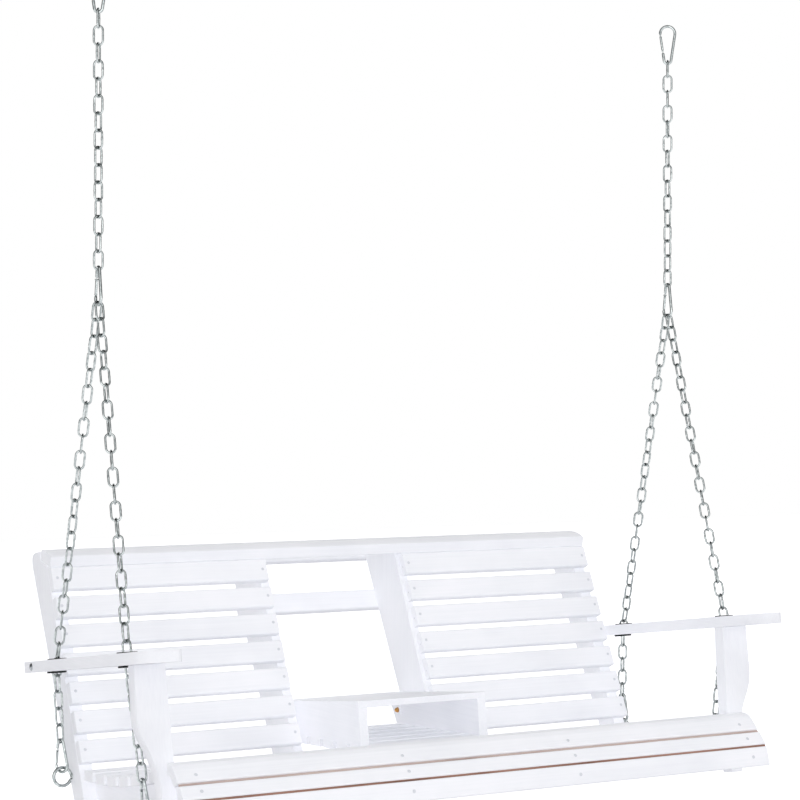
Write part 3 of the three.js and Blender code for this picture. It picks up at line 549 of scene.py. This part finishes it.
def oval_link(pitch):
    """One oval link of round wire: two half circles and two straights, swollen by a bell curve where the
    wire is welded, half way along one straight."""
    radius = (LINK_WIDTH - WIRE) / 2
    reach = pitch / 2 + WIRE / 2 - radius
    straight = np.linspace(reach, -reach, LINK_STEPS)[1:-1]
    sides = (
        arc(0, reach, radius, 0, math.pi, LINK_STEPS),
        np.stack([np.full_like(straight, -radius), straight], -1),
        arc(0, -reach, radius, math.pi, 2 * math.pi, LINK_STEPS),
        np.stack([np.full_like(straight, radius), -straight], -1),
    )
    path = np.concatenate(sides)
    weld = np.exp(-((path[:, 1] / WELD_REACH) ** 2)) * (path[:, 0] > 0)
    return bar(path, WIRE / 2 * (1 + WELD_SWELL * weld), LINK_STEPS, closed=True)


def chain(route, turns, links):
    """Links end to end along a route of straight stretches. Each turns a quarter from the last, and the
    whole chain twists evenly between the turns given at the route's corners."""
    route = [np.asarray(p, float) for p in route]
    lengths = [np.linalg.norm(b - a) for a, b in zip(route, route[1:])]

    def at(s):
        """The point and the turn at a distance along the route."""
        i = 0
        while i < len(lengths) - 1 and s > lengths[i]:
            s -= lengths[i]
            i += 1
        t = s / lengths[i]
        return route[i] + (route[i + 1] - route[i]) * t, turns[i] + (turns[i + 1] - turns[i]) * t

    parts = []
    for k in range(links):
        (a, turn_a), (b, turn_b) = at(sum(lengths) * k / links), at(sum(lengths) * (k + 1) / links)
        along = unit(b - a)
        across = across_at(along, (turn_a + turn_b) / 2 + k * math.pi / 2)
        parts.append(placed(oval_link(np.linalg.norm(b - a)), (a + b) / 2, across, along))
    return together(parts)


def inside(clip):
    """The length inside a carabiner, from bow to bow."""
    return clip[0] - 2 * BAR


def carabiner(kind, word, clip, narrow_end, along, turn, body):
    """A pear-shaped snap hook: a bent bar open on its gate side, and a sprung gate on a rivet, with a
    locking pin at the hook's nose."""
    along = unit(along)
    across = across_at(along, turn)
    length, wide, narrow = clip[0], clip[1] - BAR / 2, clip[2] - BAR / 2
    wide_at, narrow_at = length - clip[1] - BAR, clip[2] - BAR
    lean = math.asin((wide - narrow) / (wide_at - narrow_at))
    tangent = np.array([math.cos(lean), -math.sin(lean)])
    foot, head = np.array([0, narrow_at]) + narrow * tangent, np.array([0, wide_at]) + wide * tangent
    way = unit(head - foot)
    side = np.linalg.norm(head - foot)
    hinge, tip = foot + way * GATE_HINGE * side, foot + way * GATE_TIP * side
    bows = (
        [tip + way * NOSE_GAP],
        arc(0, wide_at, wide, -lean, math.pi + lean, 26),
        arc(0, narrow_at, narrow, math.pi + lean, 2 * math.pi - lean, 16),
        [hinge - way * HINGE_GAP],
    )
    path, radii = rounded_ends(np.concatenate(bows), BAR / 2)
    hook = placed(bar(path, radii, HOOK_SIDES), narrow_end, across, along)
    ends = (hinge + way * GATE_STRAIGHT, tip - way * GATE_STRAIGHT)
    path, radii = rounded_ends([hinge - way * GATE_TAIL, hinge, *ends, tip], GATE_RADIUS, 3)
    gate_parts = [placed(bar(path, radii, GATE_SIDES), narrow_end, across, along)]
    for profile, at in ((RIVET, hinge), (NOSE_PIN, tip - way * PIN_BACK)):
        centre = (np.asarray(narrow_end, float) + across * at[0] + along * at[1]) / 1000
        gate_parts.append(turned(profile, centre, np.cross(across, along), GATE_SIDES))
    hook_piece = piece(f"{kind}_{word}_hook", hook, ZINC, body)
    gate_piece = piece(f"{kind}_{word}_latch", together(gate_parts), ZINC, f"{kind}_gate_{word}")
    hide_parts(f"{kind}_carabiner_{word}")
    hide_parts(f"{kind}_gate_{word}")


DOWN, UP = np.array([0, 0, -1.0]), np.array([0, 0, 1.0])
UPPER_TOP = -inside(TOP_CLIP)
UPPER_BOTTOM = UPPER_TOP - UPPER_LINKS * LINK_PITCH
JUNCTION_BOW = UPPER_BOTTOM - inside(JUNCTION_CLIP) + JUNCTION_CLIP[1] - BAR


def washer(name, centre, way, height):
    """A pressed disc round the chain's hole, its edges broken, turned about the armrest's upright."""
    bore, rim = WASHER_BORE, WASHER_RIM
    profile = [
        (bore, 0.4),
        (bore + 0.4, 0),
        (rim - 0.5, 0),
        (rim, 0.5),
        (rim, height - 0.7),
        (rim - 0.7, height),
        (bore + 0.6, height),
        (bore, height - 0.6),
    ]
    return piece(name, turned(profile, hung(centre), way, 48, closed=True), BLACK, "bench", sharp=30)


def screw_eye(name, side, socket):
    """A screw eye: the bar leaves the wood, runs on as an open ring whose end stops short of the shank,
    and a collar bears on the wood."""
    x, y, z = socket
    wood = hung([side * x, y, z])
    centre = hung([side * (x + EYE_STANDOFF), y, z]) * 1000
    outwards = np.array([side * 1.0, 0, 0])
    path, radii = rounded_ends(arc(0, 0, EYE_RADIUS, EYE_MOUTH, math.pi, 40), EYE_WIRE / 2)
    points, faces = bar(path, radii, EYE_SIDES)
    points[:, 2] *= side
    parts = (
        placed((points, faces), centre, outwards, hung_way([0, 0, 1])),
        turned(EYE_SHANK, wood, -outwards, EYE_SIDES),
        turned(EYE_COLLAR, wood, -outwards, 20),
    )
    obj = piece(name, together(parts), ZINC, "bench")
    work = bmesh.new()
    work.from_mesh(obj.data)
    bmesh.ops.recalc_face_normals(work, faces=work.faces)
    work.to_mesh(obj.data)
    work.free()
    return obj


def crossing(corners, z):
    """Where a leg's chain crosses a level of the armrest, in the level seat's frame."""
    above, arm, below = corners
    start, end = (arm, above) if z >= arm[2] else (arm, below)
    return start + (end - start) * (z - start[2]) / (end[2] - start[2])


def upper_chain(side, word):
    """The top and the junction carabiner, and the chain between them."""
    x = side * CHAIN_HOOK_X
    carabiner("top", word, TOP_CLIP, (x, 0, UPPER_TOP), UP, TOP_TURN, "hooks_end")
    carabiner("junction", word, JUNCTION_CLIP, (x, 0, UPPER_BOTTOM), DOWN, JUNCTION_TURN, "upper_chains")
    route = [(x, 0, UPPER_TOP + SWING_PLAY), (x, 0, UPPER_BOTTOM - PLAY)]
    turns = [TOP_TURN - math.pi / 2, JUNCTION_TURN - math.pi / 2]
    links = piece(f"upper_links_{word}", chain(route, turns, UPPER_LINKS), ZINC, "upper_chains")
    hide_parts(f"upper_chain_{word}")


def leg_chain(side, word, place):
    """A leg: the chain from the junction's bow through the armrest, the carabiner at its end, the screw eye
    that this bears in, and a washer on and under the armrest."""
    leg = LEGS[place]
    x, y, z = leg["socket"]
    bow = np.array([side * CHAIN_HOOK_X, 0, JUNCTION_BOW])
    arm = hung([side * CHAIN_ARM_X, leg["arm_y"], (ARM_TOP + ARM_BOTTOM) / 2]) * 1000
    eye = hung([side * (x + EYE_STANDOFF), y, z]) * 1000
    slant = math.copysign(JUNCTION_SLANT, arm[1])
    bearing = JUNCTION_CLIP[1] - BAR - PLAY
    start = bow + bearing * np.array([0, math.sin(slant), -math.cos(slant)])
    lower = unit(eye - arm)
    clip_end = eye - lower * (EYE_RADIUS - EYE_WIRE / 2 - EYE_PLAY + inside(EYE_CLIP))
    count, turns = leg[word]
    route = [start, arm, clip_end + lower * PLAY]
    links = piece(f"leg_links_{place}_{word}", chain(route, np.radians(turns), count), ZINC, "bench")
    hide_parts(f"leg_chain_{place}_{word}")
    carabiner(f"{place}_eye", word, EYE_CLIP, clip_end, lower, math.radians(leg["gate_turn"]), "bench")
    ring = screw_eye(f"screw_eye_{place}_{word}", side, leg["socket"])
    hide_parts(f"eye_bolt_{place}_{word}")
    corners = [level(start), level(arm), level(eye)]
    for face, at, way, height in WASHERS:
        disc = washer(f"{face}_disc_{place}_{word}", crossing(corners, at), hung_way([0, 0, way]), height)
        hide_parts(f"{face}_washer_{place}_{word}")


for side, word in SIDES:
    upper_chain(side, word)
    for place in LEGS:
        leg_chain(side, word, place)

# ---------- screws, bolts and bare wood ----------

# Profiles of (radius, height over the wood), from the wood up to the crown.
SCREW_HEAD = [(3.6, -1.2), (3.6, -0.5), (3.1, 0.12), (1.9, 0.34), (0.2, 0.4)]
BOLT_HEAD = [(7.6, -2.0), (7.6, -1.0), (7.4, 0.3), (6.0, 1.9), (3.4, 2.9), (0.2, 3.2)]
PIVOT_HEAD = [(5.6, -1.2), (5.6, 0.8), (4.4, 0.9), (4.4, 4.2), (3.7, 5.7), (2.2, 6.7), (0.2, 7.0)]
SCREW_SIDES = 14
INNER_JOIST_X, OUTER_JOIST_X = 182.8, 597.4
INNER_STILE_X, OUTER_STILE_X = OPENING_HALF + 19, HALF_WIDTH - 11
SCREW_UP, NAIL_UP = 0.55, 0.42  # shares of a back slat's width


def screws(name, places, way, body="bench", size=1.0):
    """Small domed heads set in the wood, each a turned cap along the face's outward way."""
    profile = np.array(SCREW_HEAD) * size
    way = hung_way(way)
    parts = [turned(profile, hung(place), way, SCREW_SIDES) for place in places]
    piece(name, together(parts), SCREW_PAINT, body, sharp=60)


def back_slat_screws():
    """Two screws through each back slat, into the inner and the outer stile."""
    places = []
    for index in range(BACK_SLATS):
        height = index * SLAT_PITCH + SLAT_WIDTH * SCREW_UP
        for x in (INNER_STILE_X, OUTER_STILE_X):
            places += [(side * x, *on_back(height, 0)) for side, _ in SIDES]
    screws("back_slat_screws", places, (0, *on_back(0, -1)))


def slat_end_nails(side, word):
    """A nail in the end of each back slat at the opening."""
    x = side * (OPENING_HALF + SLAT_END_SETBACK)
    heights = [index * SLAT_PITCH + SLAT_WIDTH * NAIL_UP for index in range(BACK_SLATS)]
    nails = [(x, *on_back(height, SLAT_THICKNESS / 2)) for height in heights]
    screws(f"slat_end_nails_{word}", nails, (-side, 0, 0), size=0.55)


# The outer face of each front board from the lowest up, as the (y, z) of its lower and upper edge.
FRONT_FACES = [
    ((-495.3, -104.5), (-489.4, -65.4)),
    ((-487.1, -61.4), (-469.1, -36.1)),
    ((-465.5, -32.4), (-446.0, -8.5)),
]
BARE_EDGE_HALF = 634.0  # half its length
BARE_EDGE = ((-2.1, 2.2), (2.1, 2.2), (2.1, 6.0), (-2.1, 6.0))  # (up the gap, into it)
BOX_FACES = [[0, 4, 5, 1], [1, 5, 6, 2], [2, 6, 7, 3], [3, 7, 4, 0], [0, 1, 2, 3], [7, 6, 5, 4]]


def joist_pairs(spot):
    """The four places over the joists on the line of a slat or board, whose (y, z) is given."""
    return [(side * x, *spot) for side, _ in SIDES for x in (INNER_JOIST_X, OUTER_JOIST_X)]


def front_board_screws():
    """Four screws half way up the face of each front board."""
    for index, (low, high) in enumerate(np.array(FRONT_FACES)):
        way = unit(high - low)
        places = joist_pairs(low + (high - low) * 0.5)
        screws(f"front_board_screws_{index + 1}", places, (0, -way[1], way[0]), size=1.1)


def bare_edges():
    """The unpainted edges seen in the two gaps between the front boards: a strip set back in each gap."""
    faces = np.array(FRONT_FACES)
    for index, look in enumerate((RAW_DARK, RAW_PALE)):
        below, above = faces[index][1], faces[index + 1][0]
        way = unit(above - below)
        inward = np.array([way[1], -way[0]])
        middle = (below + above) / 2
        corners = [middle + way * up + inward * deep for up, deep in BARE_EDGE]
        points = hung([[x, *corner] for x in (-BARE_EDGE_HALF, BARE_EDGE_HALF) for corner in corners])
        piece(f"bare_edge_{index + 1}", (points, BOX_FACES), look, "bench", smooth=False)


# The tops of the seat slats follow an arc across the seat, which is lowest at this y and z.
DISH_RADIUS, DISH_Y, DISH_Z = 1350.0, -165.0, -24.6
SEAT_SLAT_PITCH, SEAT_SLAT_START = 59.7, 5.5
HEAD_LIFT = 0.15  # of a screw's head over the slat


def seat_slat_screws():
    """Four screws in each seat slat, on the arc that dishes the seat: the turn is the length over radius."""
    for index in range(SEAT_SLATS):
        angle = (DISH_Y + SEAT_SLAT_START + index * SEAT_SLAT_PITCH + SLAT_WIDTH / 2) / DISH_RADIUS
        y = DISH_Y - DISH_RADIUS * math.sin(angle)
        z = DISH_Z + DISH_RADIUS * (1 - math.cos(angle)) + HEAD_LIFT
        screws(f"seat_slat_screws_{index + 1}", joist_pairs((y, z)), (0, math.sin(angle), math.cos(angle)))


CONSOLE_TILT = math.radians(4.5)
CONSOLE_FLOOR_FRONT = np.array([-219.0, -22.9])  # (y, z) of its lower front edge
CONSOLE_FLOOR_SLATS, CONSOLE_FLOOR_THICKNESS = 6, 16
CONSOLE_SCREW_X = 118


def console_floor_screws():
    """A screw in each end of each floor slat of the console."""
    way = np.array([math.cos(CONSOLE_TILT), math.sin(CONSOLE_TILT)])
    up = np.array([-way[1], way[0]])
    places = []
    for index in range(CONSOLE_FLOOR_SLATS):
        middle = CONSOLE_FLOOR_FRONT + way * (index * SLAT_PITCH + SLAT_WIDTH / 2)
        places += [(side * CONSOLE_SCREW_X, *(middle + up * CONSOLE_FLOOR_THICKNESS)) for side, _ in SIDES]
    screws("console_floor_screws", places, (0, *up), body="console")


# On the right hand side, in the level seat's frame.
ARM_SCREWS_X, ARM_SCREWS_Y = (650, 630), -383
ARM_BOLT = (708, 72, 189)
PIVOT = (120, 109, 48.5)


def arm_and_pivot_heads(side, word):
    """The screws that hold the armrest on its post, the bolt in the armrest's side and the head of the
    console's pivot bolt."""
    screws(f"armrest_screws_{word}", [(side * x, ARM_SCREWS_Y, ARM_TOP) for x in ARM_SCREWS_X], (0, 0, 1))
    bolt = turned(BOLT_HEAD, hung([side * ARM_BOLT[0], *ARM_BOLT[1:]]), (side, 0, 0), 24)
    piece(f"armrest_bolt_{word}", bolt, BOLT_STEEL, "bench")
    dome = turned(PIVOT_HEAD, hung([side * PIVOT[0], *PIVOT[1:]]), (-side, 0, 0), 28)
    piece(f"pivot_head_{word}", dome, BRASS, "bench")


back_slat_screws()
for side, word in SIDES:
    slat_end_nails(side, word)
front_board_screws()
seat_slat_screws()
console_floor_screws()
for side, word in SIDES:
    arm_and_pivot_heads(side, word)
bare_edges()

# ---------- floor, light and camera ----------

FLOOR_Z = -2.06
FLOOR_HALF = 14.0
VIEW_WAY = (0.482, 0.876, 0.0)  # the level way from the camera to the seat
SEAT_CENTRE = (0, 0, -1.35)
LARGER = {"operation": "MAXIMUM"}


def backdrop_material():
    """White paper, which takes the seat's shadow. A glow that only the camera, the metal and clear things
    see brings it to full white."""
    m, t, _ = material("white_paper")
    t.nodes.clear()
    path = node(t, "ShaderNodeLightPath").outputs
    seen = node(t, "ShaderNodeMath", LARGER, i0=path["Is Camera Ray"], i1=path["Is Glossy Ray"])
    seen = node(t, "ShaderNodeMath", LARGER, i0=seen.outputs[0], i1=path["Is Transmission Ray"])
    paper = node(t, "ShaderNodeBsdfDiffuse", Color=linear("#cfcfd2"))
    glow = node(t, "ShaderNodeEmission", Color=(1, 1, 1, 1), Strength=0.8)
    both = node(t, "ShaderNodeAddShader", i0=paper.outputs[0], i1=glow.outputs[0])
    mix = node(t, "ShaderNodeMixShader", i0=seen.outputs[0], i1=paper.outputs[0], i2=both.outputs[0])
    node(t, "ShaderNodeOutputMaterial", i0=mix.outputs[0])
    return m


def paper_floor():
    """A wide sheet of white paper below the hanging seat."""
    mesh = bpy.data.meshes.new("floor")
    corners = [(x * FLOOR_HALF, y * FLOOR_HALF, FLOOR_Z) for x, y in ((-1, -1), (1, -1), (1, 1), (-1, 1))]
    mesh.from_pydata(corners, [], [(0, 1, 2, 3)])
    mesh.materials.append(backdrop_material())
    floor = bpy.data.objects.new("floor", mesh)
    bpy.context.scene.collection.objects.link(floor)


def studio_world():
    """The white studio all round. The camera and clear things see it at full white, and it lights the paint
    more from the level than from above. What the metal mirrors is the white paper behind and the bright room
    in front, with a tall dark curtain at each side between them, which draws the outline of a bright bar on
    the white."""
    world = bpy.data.worlds.new("studio")
    bpy.context.scene.world = world
    world.use_nodes = True
    t = world.node_tree
    t.nodes.clear()
    path = node(t, "ShaderNodeLightPath").outputs
    seen = node(t, "ShaderNodeMath", LARGER, i0=path["Is Camera Ray"], i1=path["Is Transmission Ray"])
    way = node(t, "ShaderNodeTexCoord").outputs["Generated"]
    height = node(t, "ShaderNodeSeparateXYZ", Vector=way).outputs[2]
    level_light = node(t, "ShaderNodeMapRange", i0=height, i1=0.0, i2=1.0, i3=0.64, i4=0.4)
    fill = node(t, "ShaderNodeBackground", Color=linear("#fcfcfd"), Strength=level_light.outputs[0])
    white = node(t, "ShaderNodeBackground", Color=(1, 1, 1, 1), Strength=1.0)
    facing = node(t, "ShaderNodeVectorMath", {"operation": "DOT_PRODUCT"}, i0=way, i1=VIEW_WAY)
    front = node(t, "ShaderNodeMapRange", i0=facing.outputs[1], i1=-0.62, i2=-0.3, i3=1.1, i4=0.01)
    paper = node(t, "ShaderNodeMapRange", i0=facing.outputs[1], i1=0.55, i2=0.72, i3=0.0, i4=1.0)
    room = node(t, "ShaderNodeMath", {"operation": "ADD"}, i0=front.outputs[0], i1=paper.outputs[0])
    mirrored = node(t, "ShaderNodeBackground", Color=linear("#fcfcfd"), Strength=room.outputs[0])
    lit = node(t, "ShaderNodeMixShader", i0=path["Is Glossy Ray"], i1=fill.outputs[0], i2=mirrored.outputs[0])
    mix = node(t, "ShaderNodeMixShader", i0=seen.outputs[0], i1=lit.outputs[0], i2=white.outputs[0])
    node(t, "ShaderNodeOutputWorld", i0=mix.outputs[0])


def lamp(name, kind, power, way):
    """A lamp of a kind that shines along a direction."""
    data = bpy.data.lights.new(name, kind)
    data.energy = power
    obj = bpy.data.objects.new(name, data)
    bpy.context.scene.collection.objects.link(obj)
    way = unit(way)
    obj.rotation_euler = (math.pi / 2 + math.asin(way[2]), 0, -math.atan2(way[0], way[1]))
    return obj


def softbox(name, place, size, power, tint):
    """A lamp panel turned to face the seat."""
    obj = lamp(name, "AREA", power, np.asarray(SEAT_CENTRE, float) - np.asarray(place, float))
    obj.location = place
    obj.data.shape = "RECTANGLE"
    obj.data.size, obj.data.size_y = size
    obj.data.color = linear(tint)[:3]


def bounce_light(name, way, power):
    """Light thrown back by the white studio from one side. It has no place of its own, so it casts no shadow
    and makes no highlight, and it reaches into the console and behind the slats."""
    obj = lamp(name, "SUN", power, way)
    obj.data.angle = math.radians(40)
    obj.data.use_shadow = False
    obj.visible_glossy = False


BOUNCES = {
    "front_left": ((0.48, 0.87, -0.1), 0.68),
    "front_right": ((-0.87, 0.48, -0.1), 0.6),
    "back_right": ((-0.48, -0.87, -0.1), 0.62),
    "back_left": ((0.87, -0.48, -0.1), 0.66),
    "above": ((0, 0.01, -1), 0.7),
    "below": ((0, 0.01, 1), 0.1),
}


def camera():
    """The photograph's camera, solved from the straight edges of the boards: level, its view shifted down
    by a little."""
    data = bpy.data.cameras.new("camera")
    data.lens = 96.92
    data.sensor_width = 36
    data.shift_y = -0.00567
    obj = bpy.data.objects.new("camera", data)
    obj.location = (-2.108645, -3.815929, -0.798026)
    obj.rotation_euler = (math.pi / 2, 0, -math.radians(28.83))
    bpy.context.scene.collection.objects.link(obj)
    bpy.context.scene.camera = obj
    bpy.context.scene.view_settings.view_transform = "Standard"


paper_floor()
studio_world()
softbox("key", (-2.4, -3.9, -0.5), (2.6, 2.2), 28, "#ffffff")
softbox("front_fill", (2.2, -4.0, -0.7), (2.2, 2.0), 16, "#fdfdff")
for place, (way, power) in BOUNCES.items():
    bounce_light(f"bounce_{place}", way, power)
camera()
